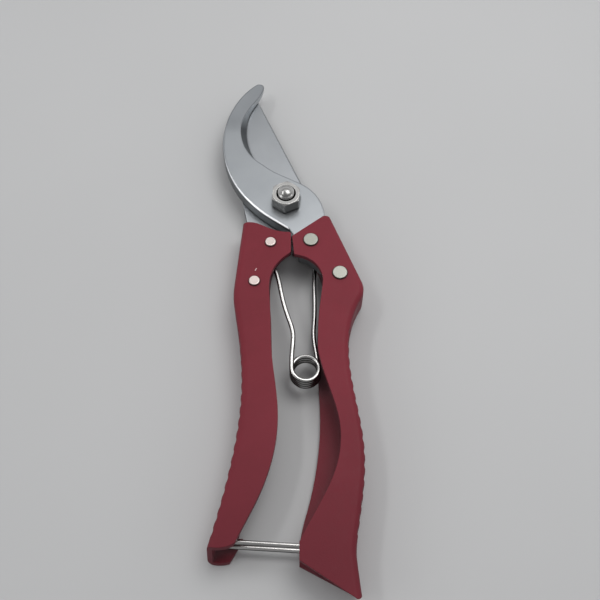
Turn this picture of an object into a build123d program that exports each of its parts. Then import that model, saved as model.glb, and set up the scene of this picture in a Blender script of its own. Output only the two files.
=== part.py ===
from build123d import *

import math
import os

os.makedirs("parts", exist_ok=True)

# The pivot axis is X = Y = 0, the blade points along +Y and the table is Z = 0. Millimetres and degrees.

# Layers along Z, from the table up
sheet = 1.8  # pressed steel with its coat
blade_thick = 4.0
hook_thick = 4.9
shear_gap = 0.1  # between the two blades
blade_z = sheet
shear_z = blade_z + blade_thick
hook_z = shear_z + shear_gap
roof_z = hook_z + hook_thick  # underside of the front flanges, top of the hook
depth = roof_z + sheet

# Clearances
hole_gap = 0.05  # radial, a shank in its hole
seat_gap = 0.1  # a part beside one that it only rests near
handle_gap = 0.4  # between the closed handles at their stop

# Pivot: an M6 bolt and nut
bolt_d = 6.0
bolt_flats = 5.2  # two flats keep the bolt from turning in the hook
bolt_head_d = 15.0
bolt_head_round = 0.5
nut_across = 10.0
nut_high = 5.2
nut_turn = -5.0
nut_mouth_break = 0.6
nut_corner_slope = 30.0  # of the turned corners
bolt_stand = 0.8  # straight thread above the nut, below the end
bolt_end_d = 4.9  # of the domed end above the thread
bolt_end_break = 0.3
bolt_dome = 0.9
thread_pitch = 1.0
thread_groove = 0.25

# Rivets: centre, head diameter and shank diameter
left_rivets = {"left_upper": (-5.5, -19.4), "left_lower": (-11.0, -35.7)}
right_rivets = {"right_upper": (9.1, -18.4), "right_lower": (19.4, -32.3)}
left_head_d = 3.8
left_shank_d = 2.6
right_head_d = 5.2
right_shank_d = 3.6
head_high = 0.7
head_round = 0.25
sunk_deep = 1.0  # countersunk tail in the back flange
left_collar_d = 4.4
right_collar_d = 6.0

# Grips
web_round = 2.2  # outside radius where the sheet is bent
groove_count = 17
groove_r = 3.0
groove_deep = 0.45
groove_from = 56.0  # distances below the pivot
groove_to = 124.0
stop_x = 2.1  # where the closed handles meet below the pivot

# Ends of the handles, the flange that faces up and the one that faces the table
left_front_end = -129.4
left_back_end = -132.0
left_end_rise = 2.0  # of the rounded end, from its middle to its sides
left_end_out = -26.0  # X of its sides and its middle
left_end_mid = -20.3
left_end_in = -14.0
left_runout = -136.0  # the left handle is drawn this far, then cut to its end
right_runout = -148.0
foot_front_y = -129.8  # on the sole of the foot at X = 0
foot_front_tip_y = -144.0  # and where the sole rounds into the toe
foot_back_y = -129.8
foot_back_tip_y = -141.0
sole_end_x = 21.5
toe_x = 22.9  # the lowest point of the toe
toe_low = 0.45  # below the end of the sole
toe_out_x = 23.8  # where the toe meets the outer edge
toe_rise = 0.7  # above the end of the sole
foot_far_x = 30.0

# Spring
wire_d = 1.6
coil_centre = (7.0, -67.7)
coil_r = 4.7
coil_gap = 0.08  # between one turn and the next
coil_pitch = wire_d + coil_gap
coil_turns = 3.5
hook_wrap = 200.0  # of a leg round its collar
leg_clear = 0.6  # between the right leg and the back flange
right_leg_z = sheet + leg_clear + wire_d / 2
left_leg_z = right_leg_z + coil_pitch * coil_turns

# Lock
lock_pin_at = (-17.2, -125.0)
lock_pin_d = 1.8
lock_slope = -3.5
lock_reach = 29.0  # from its pin to its cross bar
lock_low_z = 3.2
lock_high_z = 9.4
lock_bend_r = wire_d
lock_eye_r = lock_pin_d / 2 + hole_gap + wire_d / 2
lock_eye_sweep = 300.0
catch_back = 2.1  # from the axis of the bar back to the catch, along the lock
catch_up = 2.7  # and across it
catch_pin_d = 1.6
catch_collar_d = 3.4
catch_low_z = 4.4
catch_high_z = 8.2
pin_cover = 0.5  # sheet left over the pins' blind ends
pin_long = depth - 2 * pin_cover

# Blades
boss_r = 10.1
spine_angle = 23.2  # where the spine meets the boss
spine_long = 55.5
bevel_land = 0.8  # left upright below the hook's bevel
edge_land = 0.4  # left upright at the cutting edge
hook_edge_round = 0.9
spine_break = 0.7
far = 60.0  # past everything sideways, for open sides of a cut
below = 180.0  # past the ends of the handles


def on_circle(radius, angle, centre=(0, 0)):
    turn = math.radians(angle)
    return (centre[0] + radius * math.cos(turn), centre[1] + radius * math.sin(turn))


def lock_place(along, across):
    """A point of the lock's own frame: along it from its pin, and across it towards the table's near edge."""
    return Vector(*lock_pin_at) + lock_along * along + lock_side * across


def run_wire(path, is_frenet=False):
    """Sweeps the round wire along a path, in the part being built."""
    with BuildSketch(Plane(path @ 0, z_dir=path % 0)) as section:
        Circle(wire_d / 2)
    sweep(section.sketch, path=path, is_frenet=is_frenet)


def save(name, part):
    part.label = name
    export_step(part, f"parts/{name}.step")


lock_along = Vector(1, 0).rotate(Axis.Z, lock_slope)
lock_side = Vector(0, -1).rotate(Axis.Z, lock_slope)
catch_at = lock_place(lock_reach - catch_back, lock_eye_r - catch_up)

# Cutting blade: a straight spine running off the boss, and a curved edge ground from behind
spine_foot = on_circle(boss_r, spine_angle)
blade_tip = on_circle(spine_long, spine_angle + 90, spine_foot)
blade_heel = (-16.5, 2.0)
blade_tang_side = [blade_heel, (-13.8, -10.0), (-14.9, -39.0)]
blade_tang_end = [blade_tang_side[-1], (-11.3, -43.0), (-7.6, -39.0)]
blade_throat = [blade_tang_end[-1], (-5.7, -27.6), (-1.2, -18.4)]
boss_from = -65  # where the boss's round side starts
blade_neck = [blade_throat[-1], (0.8, -13.6), on_circle(boss_r, boss_from)]
boss_middle = on_circle(boss_r, (boss_from + spine_angle) / 2)
blade_edge = [blade_tip, (-19.2, 42.0), (-20.4, 29.0), (-18.4, 13.0), blade_heel]
blade_grind = [blade_tip, (-16.2, 42.0), (-16.8, 29.0), (-15.4, 13.0), blade_heel]

with BuildPart() as cutting_blade:
    with BuildSketch(Plane.XY.offset(blade_z)):
        with BuildLine():
            Line(spine_foot, blade_tip)
            Spline(*blade_edge)
            Polyline(*blade_tang_side)
            ThreePointArc(*blade_tang_end)
            ThreePointArc(*blade_throat)
            Polyline(*blade_neck)
            ThreePointArc(blade_neck[-1], boss_middle, spine_foot)
        make_face()
    extrude(amount=blade_thick)
    spine = cutting_blade.edges().filter_by(GeomType.LINE).filter_by(Plane.XY)
    spine = spine.sort_by(SortBy.LENGTH)[-2:].sort_by(Axis.Z)[-1]
    chamfer(spine, spine_break)
    with BuildSketch(Plane.XY.offset(blade_z)):
        with BuildLine():
            Spline(*blade_grind)
            Polyline(blade_heel, (-far, blade_heel[1]), (-far, blade_tip[1]), blade_tip)
        make_face()
    with BuildSketch(Plane.XY.offset(shear_z - edge_land)):
        with BuildLine():
            Spline(*blade_edge)
            Polyline(blade_heel, (-far, blade_heel[1]), (-far, blade_tip[1]), blade_tip)
        make_face()
    loft(mode=Mode.SUBTRACT)
    with BuildSketch(Plane.XY.offset(blade_z)):
        Circle(bolt_d / 2 + hole_gap)
        with Locations(*left_rivets.values()):
            Circle(left_shank_d / 2 + hole_gap)
    extrude(amount=blade_thick, mode=Mode.SUBTRACT)
save("cutting_blade", cutting_blade.part)

# Hook blade: a thick crescent, bevelled in front along its inner edge and thinner towards its point,
# with its tang under the right front flange
hook_point = (-9.7, 58.8)
hook_crotch = (-9.0, 17.0)
hook_inner = [hook_point, (-11.4, 53.0), (-14.9, 46.0), (-16.3, 37.5), (-14.4, 26.7), hook_crotch]
hook_bevel = [hook_point, (-11.4, 53.0), (-15.0, 46.4), (-18.0, 36.5), (-16.4, 26.0), hook_crotch]
hook_shoulder = [hook_crotch, (0.6, 10.7), (9.2, 5.2), (13.7, -2.6), (14.4, -9.0)]
hook_tang_side = [hook_shoulder[-1], (25.2, -35.6)]
hook_tang_end = [hook_tang_side[-1], (20.8, -41.4), (15.2, -36.0)]
hook_throat = [hook_tang_end[-1], (11.8, -28.4), (4.6, -23.6)]
hook_neck = [hook_throat[-1], (3.4, -16.0), (1.7, -13.2)]
hook_back = [
    hook_neck[-1],
    (-7.8, -6.3),
    (-17.1, 3.5),
    (-23.4, 17.0),
    (-25.0, 30.0),
    (-22.3, 44.0),
    (-12.4, 61.2),
]
hook_nose = [hook_back[-1], (-10.5, 61.0), hook_point]
taper_drop = 0.75  # how far the top has fallen where its curve runs into a straight slope
taper_start = (33.0, roof_z)  # along Y and Z
taper_bend = (42.0, roof_z - taper_drop)
taper_end = 64.0  # past the point

with BuildPart() as hook_blade:
    with BuildSketch(Plane.XY.offset(hook_z)):
        with BuildLine():
            Spline(*hook_inner)
            Spline(*hook_shoulder)
            Line(*hook_tang_side)
            ThreePointArc(*hook_tang_end)
            ThreePointArc(*hook_throat)
            Polyline(*hook_neck)
            Spline(*hook_back, tangents=((-0.8, 0.6), (0.75, 0.7)))
            ThreePointArc(*hook_nose)
        make_face()
    extrude(amount=hook_thick)
    back_edge = hook_blade.faces().sort_by(Axis.Z)[-1].edges().sort_by(SortBy.LENGTH)[-1]
    fillet(back_edge, hook_edge_round)
    with BuildSketch(Plane.XY.offset(hook_z + bevel_land)):
        with BuildLine():
            Spline(*hook_inner)
            Polyline(hook_crotch, (far, hook_crotch[1]), (far, hook_point[1]), hook_point)
        make_face()
    with BuildSketch(Plane.XY.offset(roof_z)):
        with BuildLine():
            Spline(*hook_bevel)
            Polyline(hook_crotch, (far, hook_crotch[1]), (far, hook_point[1]), hook_point)
        make_face()
    loft(mode=Mode.SUBTRACT)
    with BuildSketch(Plane.YZ):
        with BuildLine():
            fall = TangentArc(taper_start, taper_bend, tangent=(1, 0))
            slope = PolarLine(fall @ 1, taper_end - taper_bend[0], direction=fall % 1)
            Polyline(slope @ 1, (taper_end, roof_z), taper_start)
        make_face()
    extrude(amount=far, both=True, mode=Mode.SUBTRACT)
    with BuildSketch(Plane.XY.offset(hook_z)):
        Circle(bolt_d / 2 + hole_gap)
        Rectangle(bolt_flats + 2 * hole_gap, bolt_d * 2, mode=Mode.INTERSECT)
        with Locations(*right_rivets.values()):
            Circle(right_shank_d / 2 + hole_gap)
    extrude(amount=hook_thick, mode=Mode.SUBTRACT)
save("hook_blade", hook_blade.part)

# Pivot bolt: a low round head behind the blade, flats in the hook, a domed end above the nut
nut_top = roof_z + nut_high
bolt_top = nut_top + bolt_stand
dome_top = bolt_top + bolt_end_break + bolt_dome

with BuildPart() as pivot_bolt:
    with BuildSketch():
        Circle(bolt_head_d / 2)
    extrude(amount=blade_z - seat_gap)
    fillet(pivot_bolt.edges().filter_by(GeomType.CIRCLE), bolt_head_round)
    with BuildSketch():
        Circle(bolt_d / 2)
    extrude(amount=hook_z)
    with BuildSketch(Plane.XY.offset(hook_z)):
        Circle(bolt_d / 2)
        Rectangle(bolt_flats, bolt_d * 2, mode=Mode.INTERSECT)
    extrude(amount=hook_thick)
    with BuildSketch(Plane.XZ):
        with BuildLine():
            Polyline(
                (0, dome_top),
                (0, roof_z),
                (bolt_d / 2, roof_z),
                (bolt_d / 2, bolt_top),
                (bolt_end_d / 2, bolt_top + bolt_end_break),
            )
            TangentArc((0, dome_top), (bolt_end_d / 2, bolt_top + bolt_end_break), tangent=(1, 0))
        make_face()
    revolve(axis=Axis.Z)
    with BuildSketch(Plane.XZ):
        with Locations((bolt_d / 2, bolt_top - thread_pitch / 2)):
            Rectangle(2 * thread_groove, 2 * thread_groove, rotation=45)
    revolve(axis=Axis.Z, mode=Mode.SUBTRACT)
save("pivot_bolt", pivot_bolt.part)

# Pivot nut: a hexagon with its corners turned off at both ends
nut_corner_r = nut_across / math.sqrt(3)
nut_turned = nut_corner_r * 1.1  # outside the corners

with BuildPart() as pivot_nut:
    with BuildSketch(Plane.XY.offset(roof_z)):
        RegularPolygon(nut_corner_r, 6, rotation=90 + nut_turn)
        Circle(bolt_d / 2 + hole_gap, mode=Mode.SUBTRACT)
    extrude(amount=nut_high)
    with BuildSketch(Plane.XZ):
        with BuildLine():
            nut_slope = (nut_turned - nut_across / 2) * math.tan(math.radians(nut_corner_slope))
            Polyline(
                (0, roof_z),
                (nut_across / 2, roof_z),
                (nut_turned, roof_z + nut_slope),
                (nut_turned, nut_top - nut_slope),
                (nut_across / 2, nut_top),
                (0, nut_top),
                close=True,
            )
        make_face()
    revolve(axis=Axis.Z, mode=Mode.INTERSECT)
    mouth = pivot_nut.edges().filter_by(GeomType.CIRCLE).sort_by(SortBy.RADIUS)[:2]
    chamfer(mouth, nut_mouth_break)
save("pivot_nut", pivot_nut.part)


# Outlines of the handles: the outer edge and its bend run down from the pivot, the inner edge runs up
left_shoulder_line = [(-15.8, -10.6), (-18.2, -37.0)]
left_grip_line = [(-17.9, -45.0), (-14.5, -76.0), (-15.8, -94.0), (-19.0, -111.5), (-25.1, left_runout)]
left_tail = (-19.5, left_runout)
left_inner_line = [
    (-14.6, -127.5),
    (-8.2, -114.3),
    (-2.9, -97.0),
    (-2.1, -85.0),
    (-4.3, -65.0),
    (-5.5, -42.0),
    (-5.6, -35.0),
]
left_waist_x = -14.0  # only the outer edge lies to the left of this, above the end
left_throat = [left_inner_line[-1], (-3.5, -29.0), (0.6, -24.6)]
left_stop = stop_x - handle_gap / 2
left_stop_line = [left_throat[-1], (left_stop, -23.4), (left_stop, -15.4), (1.2, -14.9)]
left_brow = [left_stop_line[-1], (-5.1, -13.7), (-11.0, -11.0), left_shoulder_line[0]]
left_back_arch = [(-5.5, -42.0), (-5.6, -30.0), (-3.6, -22.6), (left_stop, -17.0)]
left_scoop = [(-4.4, -62.0), (-7.4, -78.0), (-9.4, -92.0), (-11.6, -108.0), (-14.4, -124.0)]

right_shoulder_line = [(16.3, -7.6), (27.2, -35.0)]
right_grip_line = [
    (26.7, -42.0),
    (22.0, -64.0),
    (23.7, -79.0),
    (26.1, -97.0),
    (25.4, -110.5),
    (22.8, -127.0),
    (24.2, right_runout),
]
right_inner_line = [
    (5.0, -126.6),
    (8.0, -113.5),
    (10.9, -99.0),
    (12.0, -83.0),
    (11.3, -63.0),
    (12.2, -44.5),
    (13.4, -35.0),
]
right_tail = (right_inner_line[0][0], right_runout)
right_waist_x = 21.0  # only the outer edge lies to the right of this
right_throat = [right_inner_line[-1], (11.2, -28.8), (5.0, -24.9)]
right_stop = left_stop + handle_gap
right_stop_line = [right_throat[-1], (right_stop + 0.8, -24.4), (right_stop, -16.6), (13.7, -7.9)]
right_back_arch = [(12.2, -44.5), (13.0, -29.0), (9.6, -22.1), (right_stop, -17.4)]
right_scoop = [(11.3, -62.0), (14.6, -75.0), (18.2, -89.0), (16.7, -104.0), (12.0, -114.6), (5.0, -127.5)]


def outer_edge(shoulder_line, grip_line, end_tangent, shift):
    """A handle's outer edge, moved along X: the straight shoulder, the bend below it and the grip."""
    moved = [(x + shift, y) for x, y in shoulder_line + grip_line]
    shoulder = Line(*moved[:2])
    bend = TangentArc(shoulder @ 1, moved[2], tangent=shoulder % 1)
    grip = Spline(*moved[2:], tangents=(bend % 1, end_tangent))
    return shoulder, grip


def left_outer(inset):
    return outer_edge(left_shoulder_line, left_grip_line, (-0.25, -1), inset)


def right_outer(inset):
    return outer_edge(right_shoulder_line, right_grip_line, (0.1, -1), -inset)


def groove_places(grip, side):
    """Centres of the shallow grooves along a grip, each standing off the edge on its outer side."""
    top = (grip @ 0).Y
    long = top - (grip @ 1).Y
    for i in range(groove_count):
        down = groove_from + (groove_to - groove_from) * i / (groove_count - 1)
        share = (top + down) / long
        out = (grip % share).rotate(Axis.Z, side * 90)
        yield grip @ share + out * (groove_r - groove_deep)


# Left handle: a channel open to the right, its back flange scooped, its front flange shorter at the end
with BuildPart() as left_handle:
    with BuildSketch():
        with BuildLine():
            _, left_grip = left_outer(0)
            Polyline(left_grip @ 1, left_tail, left_inner_line[0])
            Spline(*left_inner_line, tangents=((0.45, 1), (0.1, 1)))
            ThreePointArc(*left_throat)
            Polyline(*left_stop_line)
            Spline(*left_brow, tangents=((-1, 0), (-1, 0)))
        make_face()
    extrude(amount=depth)
    bent = left_handle.edges().filter_by(Plane.XY)
    bent = bent.filter_by(lambda e: e.center().X < left_waist_x and e.center().Y > left_front_end)
    fillet(bent, web_round)
    with BuildSketch(Plane.XY.offset(sheet)):
        with BuildLine():
            shoulder, grip = left_outer(sheet)
            Polyline(grip @ 1, (far, left_runout), (far, far), ((shoulder @ 0).X, far), shoulder @ 0)
        make_face()
    extrude(amount=roof_z - sheet, mode=Mode.SUBTRACT)
    with BuildSketch():
        with BuildLine():
            Spline(*left_scoop)
            Polyline(left_scoop[-1], (far, left_scoop[-1][1]), (far, left_scoop[0][1]), left_scoop[0])
        make_face()
    extrude(amount=sheet, mode=Mode.SUBTRACT)
    with BuildSketch():
        with BuildLine():
            Spline(*left_back_arch)
            Polyline(
                left_back_arch[-1],
                (far, left_back_arch[-1][1]),
                (far, left_back_arch[0][1]),
                left_back_arch[0],
            )
        make_face()
    extrude(amount=sheet, mode=Mode.SUBTRACT)
    for z, end_y in ((0, left_back_end), (depth, left_front_end)):
        side_y = end_y + left_end_rise
        with BuildSketch(Plane.XY.offset(z)):
            with BuildLine():
                rim = ThreePointArc((left_end_out, side_y), (left_end_mid, end_y), (left_end_in, side_y))
                Polyline(rim @ 1, (left_end_in, -below), (left_end_out, -below), rim @ 0)
            make_face()
    loft(mode=Mode.SUBTRACT)
    with BuildSketch():
        with Locations(*groove_places(left_grip, -1)):
            Circle(groove_r)
    extrude(amount=depth, mode=Mode.SUBTRACT)
    with BuildSketch():
        with Locations(*left_rivets.values()):
            Circle(left_shank_d / 2 + hole_gap)
    extrude(amount=depth, mode=Mode.SUBTRACT)
    with BuildSketch():
        with Locations(*left_rivets.values()):
            Circle(left_shank_d / 2 + hole_gap + sunk_deep)
    extrude(amount=sunk_deep, taper=45, mode=Mode.SUBTRACT)
    with BuildSketch(Plane.XY.offset(pin_cover)):
        with Locations(lock_pin_at):
            Circle(lock_pin_d / 2 + hole_gap)
    extrude(amount=pin_long, mode=Mode.SUBTRACT)
save("left_handle", left_handle.part)

# Right handle: a channel open to the left, its front flange scooped, its foot cut off at a slope
with BuildPart() as right_handle:
    with BuildSketch():
        with BuildLine():
            _, right_grip = right_outer(0)
            Polyline(right_grip @ 1, right_tail, right_inner_line[0])
            Spline(*right_inner_line, tangents=((0.1, 1), (0.1, 1)))
            ThreePointArc(*right_throat)
            Polyline(*right_stop_line, right_shoulder_line[0])
        make_face()
    extrude(amount=depth)
    bent = right_handle.edges().filter_by(Plane.XY)
    bent = bent.filter_by(lambda e: e.center().X > right_waist_x)
    fillet(bent, web_round)
    with BuildSketch(Plane.XY.offset(sheet)):
        with BuildLine():
            shoulder, grip = right_outer(sheet)
            Polyline(grip @ 1, (-far, right_runout), (-far, far), ((shoulder @ 0).X, far), shoulder @ 0)
        make_face()
    extrude(amount=roof_z - sheet, mode=Mode.SUBTRACT)
    with BuildSketch(Plane.XY.offset(depth)):
        with BuildLine():
            Spline(*right_scoop)
            Polyline(right_scoop[-1], (-far, right_scoop[-1][1]), (-far, right_scoop[0][1]), right_scoop[0])
        make_face()
    extrude(amount=-sheet, mode=Mode.SUBTRACT)
    with BuildSketch():
        with BuildLine():
            Spline(*right_back_arch)
            Polyline(
                right_back_arch[-1],
                (-far, right_back_arch[-1][1]),
                (-far, right_back_arch[0][1]),
                right_back_arch[0],
            )
        make_face()
    extrude(amount=sheet, mode=Mode.SUBTRACT)
    for z, inner_y, outer_y in ((0, foot_back_y, foot_back_tip_y), (depth, foot_front_y, foot_front_tip_y)):
        with BuildSketch(Plane.XY.offset(z)):
            with BuildLine():
                sole = Line((0, inner_y), (sole_end_x, outer_y))
                toe = ThreePointArc(sole @ 1, (toe_x, outer_y - toe_low), (toe_out_x, outer_y + toe_rise))
                Polyline(toe @ 1, (foot_far_x, (toe @ 1).Y), (foot_far_x, -below), (0, -below), sole @ 0)
            make_face()
    loft(mode=Mode.SUBTRACT)
    with BuildSketch():
        with Locations(*groove_places(right_grip, 1)):
            Circle(groove_r)
    extrude(amount=depth, mode=Mode.SUBTRACT)
    with BuildSketch():
        with Locations(*right_rivets.values()):
            Circle(right_shank_d / 2 + hole_gap)
    extrude(amount=depth, mode=Mode.SUBTRACT)
    with BuildSketch():
        with Locations(*right_rivets.values()):
            Circle(right_shank_d / 2 + hole_gap + sunk_deep)
    extrude(amount=sunk_deep, taper=45, mode=Mode.SUBTRACT)
    with BuildSketch(Plane.XY.offset(pin_cover)):
        with Locations(catch_at):
            Circle(catch_pin_d / 2 + hole_gap)
    extrude(amount=pin_long, mode=Mode.SUBTRACT)
save("right_handle", right_handle.part)

# Rivets and their collars: on the left a collar above the tang, on the right one below it
for side, rivets, head_d, shank_d, collar_d, collar_from, collar_to in (
    ("left", left_rivets, left_head_d, left_shank_d, left_collar_d, shear_z, roof_z),
    ("right", right_rivets, right_head_d, right_shank_d, right_collar_d, sheet, hook_z),
):
    for name, centre in rivets.items():
        with BuildPart() as rivet:
            with BuildSketch():
                with Locations(centre):
                    Circle(shank_d / 2)
            extrude(amount=depth)
            with BuildSketch():
                with Locations(centre):
                    Circle(shank_d / 2 + sunk_deep)
            extrude(amount=sunk_deep, taper=45)
            with BuildSketch(Plane.XY.offset(depth)):
                with Locations(centre):
                    Circle(head_d / 2)
            extrude(amount=head_high)
            fillet(rivet.edges().sort_by(Axis.Z)[-1], head_round)
        save(f"{name}_rivet", rivet.part)

        with BuildPart() as collar:
            with BuildSketch(Plane.XY.offset(collar_from)):
                with Locations(centre):
                    Circle(collar_d / 2)
                    Circle(shank_d / 2 + hole_gap, mode=Mode.SUBTRACT)
            extrude(amount=collar_to - collar_from)
        save(f"{name}_collar", collar.part)

# Spring: a left-hand coil, the right leg leaving its lowest turn and the left leg its top turn
right_hook_r = right_collar_d / 2 + seat_gap + wire_d / 2
left_hook_r = left_collar_d / 2 + seat_gap + wire_d / 2
right_hook_at = right_rivets["right_upper"]
left_hook_at = left_rivets["left_upper"]
coil_right = on_circle(coil_r, 0, coil_centre)
coil_left = on_circle(coil_r, 180, coil_centre)
right_leg_line = [coil_right, (10.9, -60.0), (10.0, -52.7), (10.5, -43.0), (10.4, -26.4), (11.6, -22.2)]
left_leg_line = [coil_left, (2.5, -61.0), (2.7, -54.5), (1.1, -48.6), (-1.6, -38.0), (-4.2, -28.5)]

with BuildPart() as spring:
    with BuildLine() as coil_path:
        Helix(
            coil_pitch,
            coil_pitch * coil_turns,
            coil_r,
            center=(*coil_centre, right_leg_z),
            lefthand=True,
        )
    run_wire(coil_path.wire(), is_frenet=True)
    with BuildLine() as right_leg:
        Spline(*right_leg_line, on_circle(right_hook_r, 0, right_hook_at), tangents=((0, 1), (0, 1)))
        CenterArc(right_hook_at, right_hook_r, 0, hook_wrap)
    run_wire(Pos(0, 0, right_leg_z) * right_leg.wire())
    with BuildLine() as left_leg:
        Spline(*left_leg_line, on_circle(left_hook_r, 180, left_hook_at), tangents=((0, 1), (0, 1)))
        CenterArc(left_hook_at, left_hook_r, 180, -hook_wrap)
    run_wire(Pos(0, 0, left_leg_z) * left_leg.wire())
    with Locations((*coil_right, right_leg_z), (*coil_left, left_leg_z)):
        Sphere(wire_d / 2)
save("spring", spring.part)

# Lock: a wire with an eye at each end, turning on a pin in the left handle
lock_start = lock_place(0, lock_eye_r)

with BuildPart() as lock_wire:
    with BuildLine(Plane(lock_start, x_dir=lock_along, z_dir=lock_side)) as lock_loop:
        FilletPolyline(
            (0, lock_low_z),
            (lock_reach, lock_low_z),
            (lock_reach, lock_high_z),
            (0, lock_high_z),
            radius=lock_bend_r,
        )
    run_wire(lock_loop.wire())
    for z in (lock_low_z, lock_high_z):
        with BuildLine(Plane.XY.offset(z)) as lock_eye:
            CenterArc(lock_pin_at, lock_eye_r, lock_slope - 90, -lock_eye_sweep)
        run_wire(lock_eye.wire())
save("lock_wire", lock_wire.part)

with BuildPart() as lock_pin:
    with BuildSketch(Plane.XY.offset(pin_cover)):
        with Locations(lock_pin_at):
            Circle(lock_pin_d / 2)
    extrude(amount=pin_long)
save("lock_pin", lock_pin.part)

with BuildPart() as catch_pin:
    with BuildSketch(Plane.XY.offset(pin_cover)):
        with Locations(catch_at):
            Circle(catch_pin_d / 2)
    extrude(amount=pin_long)
save("catch_pin", catch_pin.part)

with BuildPart() as catch_collar:
    with BuildSketch(Plane.XY.offset(catch_low_z)):
        with Locations(catch_at):
            Circle(catch_collar_d / 2)
            Circle(catch_pin_d / 2 + hole_gap, mode=Mode.SUBTRACT)
    extrude(amount=catch_high_z - catch_low_z)
save("catch_collar", catch_collar.part)
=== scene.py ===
import bpy
import math
import numpy as np
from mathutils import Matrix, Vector


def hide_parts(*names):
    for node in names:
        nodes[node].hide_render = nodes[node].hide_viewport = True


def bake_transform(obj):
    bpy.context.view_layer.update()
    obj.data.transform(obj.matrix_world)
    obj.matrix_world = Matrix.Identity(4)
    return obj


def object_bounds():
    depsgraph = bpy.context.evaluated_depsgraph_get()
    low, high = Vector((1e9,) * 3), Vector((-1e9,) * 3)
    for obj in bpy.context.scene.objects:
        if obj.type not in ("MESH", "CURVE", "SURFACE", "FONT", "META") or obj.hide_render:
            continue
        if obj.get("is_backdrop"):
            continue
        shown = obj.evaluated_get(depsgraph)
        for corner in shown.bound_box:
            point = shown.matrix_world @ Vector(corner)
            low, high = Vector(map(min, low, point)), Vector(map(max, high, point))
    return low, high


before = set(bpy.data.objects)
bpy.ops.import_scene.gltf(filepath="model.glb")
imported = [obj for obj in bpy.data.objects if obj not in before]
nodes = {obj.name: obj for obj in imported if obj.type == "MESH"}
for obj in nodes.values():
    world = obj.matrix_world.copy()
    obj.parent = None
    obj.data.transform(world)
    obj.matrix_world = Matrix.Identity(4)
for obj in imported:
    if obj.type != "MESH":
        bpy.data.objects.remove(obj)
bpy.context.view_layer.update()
scene = bpy.context.scene

MM = 0.001

# Camera, at the photograph's angle: tilted from straight down, over the middle of the shears
camera_tilt = 29.0
camera_at = (5.18, -196.10, 288.11)
camera_lens = 54.0
sensor = 36.0

# Rivet heads on the front of the handles, in millimetres
left_upper = (-5.5, -19.4)
left_lower = (-11.0, -35.7)
right_upper = (9.1, -18.4)
right_lower = (19.4, -32.3)
left_head_d = 3.8
right_head_d = 5.2
rivet_heads = [
    (left_upper, left_head_d),
    (left_lower, left_head_d),
    (right_upper, right_head_d),
    (right_lower, right_head_d),
]

# Spring, in millimetres: wire and coil as in the solid, legs that hook round the collars of the upper rivets.
# The right leg has more points than the solid's, to run as straight as in the photograph.
wire_d = 1.6
coil_centre = (7.0, -67.7)
coil_r = 4.7
coil_pitch = 1.68
coil_turns = 3.5
coil_steps = 56  # rings of the mesh in each turn
right_leg_z = 3.2
left_leg_z = right_leg_z + coil_pitch * coil_turns
left_collar_d = 4.4
right_collar_d = 6.0
seat_gap = 0.1
left_hook_r = left_collar_d / 2 + seat_gap + wire_d / 2
right_hook_r = right_collar_d / 2 + seat_gap + wire_d / 2
hook_wrap = 200.0
right_leg_line = [
    (10.9, -60.0),
    (10.0, -52.7),
    (10.3, -46.0),
    (10.4, -38.0),
    (10.4, -30.0),
    (10.7, -25.5),
    (11.9, -21.8),
]
left_leg_line = [(2.5, -61.0), (2.7, -54.5), (1.1, -48.6), (-1.6, -38.0), (-4.2, -28.5)]
cap_steps = (0.97, 0.8, 0.5)  # how far out the rings of a rounded end lie, in radii of the wire

# Red coat: its colours, among them painted shade and painted light, and in millimetres the places of its wear
# and of its painted shade
coat_deep = (0.166, 0.018, 0.028)
coat_light = (0.190, 0.021, 0.033)
coat_speck = (0.215, 0.030, 0.044)
coat_scuffed = (0.28, 0.08, 0.09)
coat_worn = (0.34, 0.13, 0.14)
coat_painted_falloff = (0.068, 0.008, 0.014)
coat_side_shade = (0.105, 0.022, 0.032)
recess_painted_light = (0.19, 0.095, 0.105)
painted_rivet_shadow = (0.018, 0.008, 0.009)
primer = (0.72, 0.55, 0.55)
falloff_low = -135.0  # along Y, where the painted falloff of light is darkest
falloff_high = -65.0  # and where that has faded out
rivet_shadow_reach = 0.5  # how far the painted shadow reaches out from a rivet head
chip_spots = [(-10.4, -30.55), (-10.58, -30.9), (-10.76, -31.25)]
chip_r = 0.12
chip_fade_r = 0.22

# Steel: the directions that its faces are told apart by for painted shade and painted highlights, and the
# colour of its painted highlight
right_walls = (0.85, 0.53, 0)
near_side = (0, -1, 0)
upward = (0, 0, 1)
bevel_end = (0.7, -0.7, 0)
painted_highlight = (0.93, 0.94, 0.95)

# Floor, room and how near and far the camera sees, with lengths in metres
floor_half = 2.0
floor_z = -0.0001
floor_dark = (0.506, 0.506, 0.506)
floor_pale = (0.530, 0.530, 0.530)
room_colour = (0.97, 0.98, 1.0)
# The room's strength along an axis: from one place to another, and its value at each
room_changes = [("Z", 0.2, 0.72, 1.10, 0.46), ("Y", -0.75, 0.45, 0.55, 1.0)]
clip_near = 0.01
clip_far = 20


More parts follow.
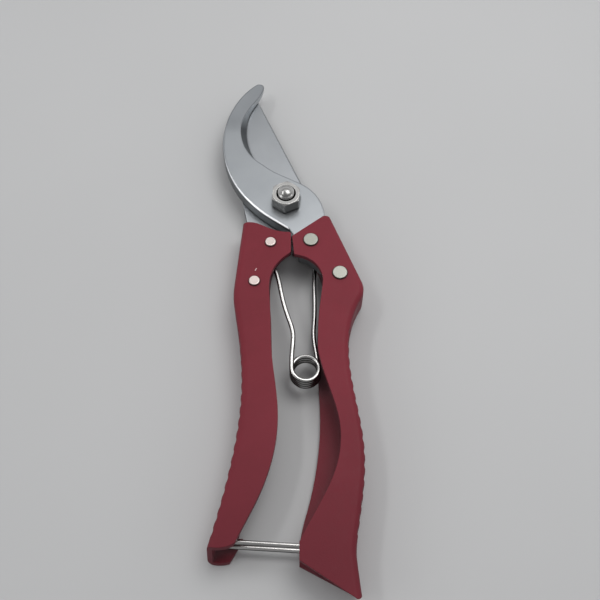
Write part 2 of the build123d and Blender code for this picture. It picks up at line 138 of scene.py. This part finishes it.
# Node helpers
class Shader:
    """One material with a Principled shader, and short ways to add and join nodes."""

    def __init__(self, name):
        self.material = bpy.data.materials.new(name)
        self.material.use_nodes = True
        self.tree = self.material.node_tree
        self.tree.nodes.clear()
        self.out = self.tree.nodes.new("ShaderNodeOutputMaterial")
        self.bsdf = self.tree.nodes.new("ShaderNodeBsdfPrincipled")
        self.tree.links.new(self.bsdf.outputs[0], self.out.inputs[0])
        self.place = self.node("ShaderNodeTexCoord").outputs["Object"]

    def node(self, kind, **settings):
        made = self.tree.nodes.new(kind)
        for key, value in settings.items():
            setattr(made, key, value)
        return made

    def join(self, source, socket):
        self.tree.links.new(source, socket)

    def put(self, socket, value):
        """A number, a colour or another node's output into a socket."""
        if isinstance(value, bpy.types.NodeSocket):
            self.join(value, socket)
        elif hasattr(value, "__len__") and len(value) == 3 and len(socket.default_value) == 4:
            socket.default_value = (*value, 1)
        else:
            socket.default_value = value

    def math(self, operation, a, b=0.0):
        made = self.node("ShaderNodeMath", operation=operation)
        self.put(made.inputs[0], a)
        self.put(made.inputs[1], b)
        return made.outputs[0]

    def least(self, values):
        smallest = values[0]
        for value in values[1:]:
            smallest = self.math("MINIMUM", smallest, value)
        return smallest

    def mapped(self, scale=(1, 1, 1), turn=0.0):
        """The place on the object, turned about Z and stretched."""
        made = self.node("ShaderNodeMapping")
        self.join(self.place, made.inputs["Vector"])
        made.inputs["Rotation"].default_value = (0, 0, math.radians(turn))
        made.inputs["Scale"].default_value = scale
        return made.outputs[0]

    def noise(self, scale, detail=2.0, rough=0.5, vector=None):
        made = self.node("ShaderNodeTexNoise")
        self.join(vector or self.place, made.inputs["Vector"])
        made.inputs["Scale"].default_value = scale
        made.inputs["Detail"].default_value = detail
        made.inputs["Roughness"].default_value = rough
        return made.outputs["Fac"]

    def span(self, value, low, high, to_low=0.0, to_high=1.0):
        """value from low..high brought to to_low..to_high, held at the ends."""
        made = self.node("ShaderNodeMapRange")
        self.put(made.inputs["Value"], value)
        for key, number in (("From Min", low), ("From Max", high), ("To Min", to_low), ("To Max", to_high)):
            self.put(made.inputs[key], number)
        return made.outputs[0]

    def mix(self, share, a, b):
        made = self.node("ShaderNodeMix", data_type="RGBA")
        self.put(made.inputs[0], share)
        self.put(made.inputs[6], a)
        self.put(made.inputs[7], b)
        return made.outputs[2]

    def rounded(self, radius):
        """The normal as it would be with its edges rounded off."""
        made = self.node("ShaderNodeBevel", samples=6)
        made.inputs["Radius"].default_value = radius
        return made.outputs[0]

    def edges(self, radius, low, high):
        """1 along sharp edges and 0 on open faces, from how far a rounded normal turns away."""
        flat = self.node("ShaderNodeNewGeometry")
        dot = self.node("ShaderNodeVectorMath", operation="DOT_PRODUCT")
        self.join(self.rounded(radius), dot.inputs[0])
        self.join(flat.outputs["Normal"], dot.inputs[1])
        return self.span(dot.outputs["Value"], high, low)

    def away(self, centre):
        """The distance in metres from an axis along Z, given in millimetres."""
        shift = self.node("ShaderNodeVectorMath", operation="SUBTRACT")
        self.join(self.place, shift.inputs[0])
        shift.inputs[1].default_value = (centre[0] * MM, centre[1] * MM, 0)
        flat = self.node("ShaderNodeVectorMath", operation="MULTIPLY")
        self.join(shift.outputs[0], flat.inputs[0])
        flat.inputs[1].default_value = (1, 1, 0)
        long = self.node("ShaderNodeVectorMath", operation="LENGTH")
        self.join(flat.outputs[0], long.inputs[0])
        return long.outputs["Value"]

    def upright(self, low, high):
        """1 on faces that stand up from the table and 0 on faces that lie flat."""
        normal = self.node("ShaderNodeNewGeometry").outputs["Normal"]
        split = self.node("ShaderNodeSeparateXYZ")
        self.join(normal, split.inputs[0])
        return self.span(self.math("ABSOLUTE", split.outputs["Z"]), high, low)

    def facing(self, direction, low, high):
        """1 on faces that look along a direction, 0 on those that look elsewhere."""
        dot = self.node("ShaderNodeVectorMath", operation="DOT_PRODUCT")
        self.join(self.node("ShaderNodeNewGeometry").outputs["Normal"], dot.inputs[0])
        dot.inputs[1].default_value = direction
        return self.span(dot.outputs["Value"], low, high)

    def touch(self, reach, low, high):
        """1 in corners where something stands close by, 0 on open faces."""
        made = self.node("ShaderNodeAmbientOcclusion", samples=8)
        made.inputs["Distance"].default_value = reach
        return self.span(made.outputs["AO"], high, low)

    def bump(self, height, strength, distance, normal=None):
        made = self.node("ShaderNodeBump")
        made.inputs["Strength"].default_value = strength
        made.inputs["Distance"].default_value = distance
        self.put(made.inputs["Height"], height)
        if normal is not None:
            self.join(normal, made.inputs["Normal"])
        return made.outputs[0]

    def finish(self, colour, rough, normal, metallic=0.0, **sockets):
        self.put(self.bsdf.inputs["Base Color"], colour)
        self.put(self.bsdf.inputs["Roughness"], rough)
        self.bsdf.inputs["Metallic"].default_value = metallic
        self.join(normal, self.bsdf.inputs["Normal"])
        for key, value in sockets.items():
            self.bsdf.inputs[key.replace("_", " ")].default_value = value
        return self.material


def shade(colour, share):
    """A colour made darker or brighter, no brighter than white."""
    return tuple(min(1, share * x) for x in colour)


def red_coat():
    s = Shader("red_coat")
    cloud = s.noise(38, 3)
    mottle = s.noise(420, 3, 0.6)
    peel = s.noise(1500, 2)
    scuff = s.noise(60, 5, 0.7, s.mapped((1, 9, 1), 20))
    sharp_edges = s.edges(0.0007, 0.55, 0.93)
    colour = s.mix(s.span(cloud, 0.35, 0.65), coat_deep, coat_light)
    colour = s.mix(s.span(mottle, 0.45, 0.8, 0, 0.30), colour, coat_speck)
    colour = s.mix(s.span(scuff, 0.66, 0.78, 0, 0.20), colour, coat_scuffed)
    colour = s.mix(s.math("MULTIPLY", sharp_edges, s.span(mottle, 0.35, 0.7, 0, 0.4)), colour, coat_worn)
    # Painted shade: darker towards the ends of the grips, where the light falls off, and darker down the
    # upright sides; deep in the channels a paler, greyer colour, painted light in their shade
    split = s.node("ShaderNodeSeparateXYZ")
    s.join(s.place, split.inputs[0])
    painted_falloff = s.span(split.outputs["Y"], falloff_low * MM, falloff_high * MM, 0.38, 0)
    colour = s.mix(painted_falloff, colour, coat_painted_falloff)
    colour = s.mix(s.math("MULTIPLY", s.upright(0.2, 0.6), 0.45), colour, coat_side_shade)
    colour = s.mix(s.touch(0.020, 0.26, 0.60), colour, recess_painted_light)
    # Painted shadow in the corner round each rivet head, and one chip down to the primer
    rim = s.least([s.math("SUBTRACT", s.away(centre), head / 2 * MM) for centre, head in rivet_heads])
    colour = s.mix(s.span(rim, 0.0, rivet_shadow_reach * MM, 0.85, 0), colour, painted_rivet_shadow)
    chip = s.least([s.away(centre) for centre in chip_spots])
    colour = s.mix(s.span(chip, chip_r * MM, chip_fade_r * MM, 1, 0), colour, primer)
    rough = s.span(mottle, 0.3, 0.7, 0.44, 0.56)
    normal = s.bump(peel, 0.22, 0.00012, s.rounded(0.0004))
    return s.finish(colour, rough, normal, Specular_IOR_Level=0.16)


def steel(name, dark, pale, rough, lines, turn, scratch=0.06, side=(1.0, 1.0), edge=1.2, rim=False):
    """Steel with fine lines of grinding.

    side is how bright its upright faces are, to the left and to the right, a painted shade, and edge is the
    same for its sharp edges. rim paints a highlight along the rounded edge at the lower left, and paints the
    upper end of the bevel lighter.
    """
    s = Shader(name)
    cloud = s.noise(45, 3)
    grain = s.noise(lines, 3, 0.65, s.mapped((1, 0.04, 1), turn))
    fine = s.noise(lines * 3, 2, 0.6, s.mapped((1, 0.03, 1), turn))
    sharp_edges = s.edges(0.0011, 0.80, 0.985)
    colour = s.mix(s.span(cloud, 0.3, 0.7), dark, pale)
    colour = s.mix(s.span(grain, 0.3, 0.75, 0, 0.06), colour, shade(dark, 0.85))
    # Painted shade: upright faces darker, by a share that differs for faces turned left and right
    left, right = (shade(dark, share) for share in side)
    painted_wall_shade = s.mix(s.facing(right_walls, 0.1, 0.7), left, right)
    colour = s.mix(s.upright(0.45, 0.75), colour, painted_wall_shade)
    # Sharp edges made brighter or darker by the share edge
    colour = s.mix(s.math("MULTIPLY", sharp_edges, 0.8), colour, shade(pale, edge))
    # Painted highlight along the rounded edge at the lower left, and the upper end of the bevel painted
    # lighter
    if rim:
        lit = s.math("MULTIPLY", s.facing(near_side, 0.10, 0.22), s.facing(upward, 0.60, 0.75))
        colour = s.mix(lit, colour, painted_highlight)
        colour = s.mix(s.facing(bevel_end, 0.66, 0.86), colour, shade(dark, 1.6))
    # Painted shade in corners where another part stands close
    colour = s.mix(s.touch(0.0012, 0.5, 0.85), colour, shade(dark, 0.3))
    wide = s.span(fine, 0.3, 0.7, rough - 0.02, rough + 0.03)
    normal = s.bump(grain, scratch, 0.00004, s.rounded(0.00022))
    return s.finish(colour, wide, normal, 1.0)


def wire_steel(name, dark, pale, rough):
    """Bright drawn wire: hardly any grain, a faint cloud of handling, and painted shade darkening it down its
    sides.
    """
    s = Shader(name)
    cloud = s.noise(160, 3)
    pits = s.noise(2600, 2, 0.6)
    colour = s.mix(s.span(cloud, 0.35, 0.65), dark, pale)
    # Painted shade down the sides of the wire
    colour = s.mix(s.upright(0.50, 0.92), colour, shade(dark, 0.22))
    wide = s.span(cloud, 0.3, 0.7, rough - 0.04, rough + 0.06)
    return s.finish(colour, wide, s.bump(pits, 0.05, 0.00003), 1.0)


def floor_material():
    s = Shader("floor")
    cloud = s.noise(5, 3)
    colour = s.mix(s.span(cloud, 0.3, 0.7), floor_dark, floor_pale)
    return s.finish(colour, 0.9, s.bump(s.noise(60, 3), 0.04, 0.0005))


materials = {
    "red_coat": red_coat(),
    "hook_steel": steel(
        "hook_steel",
        dark=(0.305, 0.321, 0.335),
        pale=(0.353, 0.367, 0.382),
        rough=0.34,
        lines=900,
        turn=30,
        scratch=0.02,
        side=(0.52, 0.36),
        edge=0.18,
        rim=True,
    ),
    "blade_steel": steel(
        "blade_steel",
        dark=(0.322, 0.335, 0.349),
        pale=(0.368, 0.381, 0.395),
        rough=0.32,
        lines=1100,
        turn=-65,
        scratch=0.005,
        side=(0.6, 0.6),
        edge=1.1,
    ),
    "fastener_steel": steel(
        "fastener_steel",
        dark=(0.33, 0.325, 0.316),
        pale=(0.385, 0.38, 0.369),
        rough=0.24,
        lines=2200,
        turn=80,
        scratch=0.02,
        side=(0.75, 0.42),
        edge=1.6,
    ),
    "rivet_steel": steel(
        "rivet_steel",
        dark=(0.49, 0.42, 0.395),
        pale=(0.58, 0.50, 0.47),
        rough=0.36,
        lines=2600,
        turn=15,
    ),
    "right_rivet_steel": steel(
        "right_rivet_steel",
        dark=(0.25, 0.255, 0.226),
        pale=(0.30, 0.305, 0.272),
        rough=0.36,
        lines=2600,
        turn=15,
    ),
    "spring_wire": wire_steel("spring_wire", (0.50, 0.49, 0.475), (0.62, 0.605, 0.59), 0.15),
    "lock_wire": wire_steel("lock_wire", (0.52, 0.51, 0.495), (0.63, 0.615, 0.60), 0.17),
    "pin_steel": wire_steel("pin_steel", (0.45, 0.45, 0.45), (0.55, 0.55, 0.55), 0.32),
}

slot_nodes = {
    "red_coat": ("left_handle", "right_handle"),
    "hook_steel": ("hook_blade",),
    "blade_steel": ("cutting_blade",),
    "fastener_steel": ("pivot_nut", "pivot_bolt"),
    "rivet_steel": ("left_upper_rivet", "left_lower_rivet"),
    "right_rivet_steel": ("right_upper_rivet", "right_lower_rivet"),
    "lock_wire": ("lock_wire",),
    "spring_wire": ("spring",),
    "pin_steel": (
        "lock_pin",
        "catch_pin",
        "catch_collar",
        "left_upper_collar",
        "left_lower_collar",
        "right_upper_collar",
        "right_lower_collar",
    ),
}
for slot, names in slot_nodes.items():
    for name in names:
        nodes[name].data.materials.clear()
        nodes[name].data.materials.append(materials[slot])


# Spring: a coil and two legs, built as three pieces
def through(points, first, last, per_span=14):
    """A smooth cubic line through the points, with its end directions given, as a list of places."""
    p = np.array(points, float)
    step = np.linalg.norm(np.diff(p, axis=0), axis=1)
    n = len(p)
    a = np.zeros((n, n))
    b = np.zeros((n, p.shape[1]))
    a[0, 0] = a[-1, -1] = 1
    b[0], b[-1] = first, last
    for i in range(1, n - 1):
        a[i, i - 1 : i + 2] = step[i], 2 * (step[i - 1] + step[i]), step[i - 1]
        b[i] = 3 * (step[i] * (p[i] - p[i - 1]) / step[i - 1] + step[i - 1] * (p[i + 1] - p[i]) / step[i])
    slope = np.linalg.solve(a, b)
    line = []
    for i in range(n - 1):
        for t in np.linspace(0, 1, per_span, endpoint=False):
            line.append(
                (1 + 2 * t) * (1 - t) ** 2 * p[i]
                + t * (1 - t) ** 2 * step[i] * slope[i]
                + t * t * (3 - 2 * t) * p[i + 1]
                + t * t * (t - 1) * step[i] * slope[i + 1]
            )
    return line + [p[-1]]


def arc(centre, radius, start, sweep, count=40):
    turns = np.radians(np.linspace(start, start + sweep, count))
    return [np.array((centre[0] + radius * math.cos(t), centre[1] + radius * math.sin(t))) for t in turns]


def tube(name, path, radius, sides=20):
    """A round wire along a path in millimetres, with rounded ends, as a mesh in metres."""
    p = np.array(path, float)
    along = np.gradient(p, axis=0)
    along /= np.linalg.norm(along, axis=1)[:, None]
    up = np.array((0, 0, 1.0))
    rings = []
    for place, direction in zip(p, along):
        side = np.cross(direction, up)
        side /= np.linalg.norm(side)
        rise = np.cross(side, direction)
        rings.append((place, radius, side, rise))
    cap = [(math.sqrt(1 - out * out), out) for out in cap_steps]
    first = [(p[0] - along[0] * radius * out, radius * r, *rings[0][2:]) for r, out in cap]
    last = [(p[-1] + along[-1] * radius * out, radius * r, *rings[-1][2:]) for r, out in reversed(cap)]
    rings = first + rings + last
    verts = []
    for place, r, side, rise in rings:
        for k in range(sides):
            t = 2 * math.pi * k / sides
            verts.append((place + r * (math.cos(t) * side + math.sin(t) * rise)) * MM)
    faces = []
    for i in range(len(rings) - 1):
        for k in range(sides):
            a = i * sides + k
            b = i * sides + (k + 1) % sides
            faces.append((a, b, b + sides, a + sides))
    faces.append(tuple(reversed(range(sides))))
    faces.append(tuple(range((len(rings) - 1) * sides, len(rings) * sides)))
    mesh = bpy.data.meshes.new(name)
    mesh.from_pydata([tuple(v) for v in verts], [], faces)
    mesh.validate()
    mesh.update()
    mesh.shade_smooth()
    made = bpy.data.objects.new(name, mesh)
    scene.collection.objects.link(made)
    made.data.materials.append(materials["spring_wire"])
    return made


coil_path = []
for share in np.linspace(0, 1, int(coil_steps * coil_turns) + 1):
    t = -2 * math.pi * coil_turns * share
    coil_path.append(
        (
            coil_centre[0] + coil_r * math.cos(t),
            coil_centre[1] + coil_r * math.sin(t),
            right_leg_z + coil_pitch * coil_turns * share,
        )
    )
spring_coil = tube("spring_coil", coil_path, wire_d / 2)

leg_way = (0, 1)  # a leg leaves the coil and meets its collar along +Y
coil_right = (coil_centre[0] + coil_r, coil_centre[1])
right_hook = (right_upper[0] + right_hook_r, right_upper[1])
right_path = through([coil_right, *right_leg_line, right_hook], leg_way, leg_way)
right_path += arc(right_upper, right_hook_r, 0, hook_wrap)[1:]
spring_right_leg = tube("spring_right_leg", [(*q, right_leg_z) for q in right_path], wire_d / 2)

coil_left = (coil_centre[0] - coil_r, coil_centre[1])
left_hook = (left_upper[0] - left_hook_r, left_upper[1])
left_path = through([coil_left, *left_leg_line, left_hook], leg_way, leg_way)
left_path += arc(left_upper, left_hook_r, 180, -hook_wrap)[1:]
spring_left_leg = tube("spring_left_leg", [(*q, left_leg_z) for q in left_path], wire_d / 2)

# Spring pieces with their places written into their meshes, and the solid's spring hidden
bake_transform(spring_coil)
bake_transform(spring_right_leg)
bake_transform(spring_left_leg)
for piece in (spring_coil, spring_right_leg, spring_left_leg):
    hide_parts("spring")

# Floor
floor_mesh = bpy.data.meshes.new("floor")
floor_corners = ((-1, -1), (1, -1), (1, 1), (-1, 1))
floor_mesh.from_pydata(
    [(floor_half * x, floor_half * y, floor_z) for x, y in floor_corners],
    [],
    [(0, 1, 2, 3)],
)
floor = bpy.data.objects.new("floor", floor_mesh)
scene.collection.objects.link(floor)
floor.data.materials.append(floor_material())
floor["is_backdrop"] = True


def area_light(name, place, size, power):
    """A rectangular lamp, in metres and watts, that looks at the pivot."""
    pivot = Vector((0, 0, 0))
    lamp = bpy.data.lights.new(name, "AREA")
    lamp.shape = "RECTANGLE"
    lamp.size, lamp.size_y = size
    lamp.energy = power
    made = bpy.data.objects.new(name, lamp)
    made.location = place
    made.rotation_mode = "QUATERNION"
    made.rotation_quaternion = (pivot - Vector(place)).to_track_quat("-Z", "Y")
    scene.collection.objects.link(made)


area_light("key", (0.15, 0.09, 0.44), (0.30, 0.30), 0.90)
area_light("back_box", (0.0, 0.47, 0.82), (0.7, 0.32), 0.65)
area_light("left_strip", (-0.50, 0.10, 0.75), (0.5, 0.09), 1.0)
area_light("left_window", (-0.75, -0.30, 0.38), (0.5, 0.3), 0.45)

# World: a soft room, brighter towards its far walls than overhead, and dim on the near side
world = bpy.data.worlds.new("studio")
world.use_nodes = True
scene.world = world
tree = world.node_tree
back = tree.nodes["Background"]
back.inputs["Color"].default_value = (*room_colour, 1)
sky = tree.nodes.new("ShaderNodeTexCoord")
split = tree.nodes.new("ShaderNodeSeparateXYZ")
tree.links.new(sky.outputs["Generated"], split.inputs[0])
both = tree.nodes.new("ShaderNodeMath")
both.operation = "MULTIPLY"
for socket, (axis, low, high, to_low, to_high) in zip(both.inputs, room_changes):
    share = tree.nodes.new("ShaderNodeMapRange")
    for key, value in (("From Min", low), ("From Max", high), ("To Min", to_low), ("To Max", to_high)):
        share.inputs[key].default_value = value
    tree.links.new(split.outputs[axis], share.inputs["Value"])
    tree.links.new(share.outputs[0], socket)
tree.links.new(both.outputs[0], back.inputs["Strength"])

# Camera
lens = bpy.data.cameras.new("camera")
lens.lens = camera_lens
lens.sensor_width = sensor
lens.clip_start = clip_near
lens.clip_end = clip_far
camera = bpy.data.objects.new("camera", lens)
camera.location = [x * MM for x in camera_at]
camera.rotation_euler = (math.radians(camera_tilt), 0, 0)
scene.collection.objects.link(camera)
scene.camera = camera

scene.view_settings.view_transform = "Standard"

low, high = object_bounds()
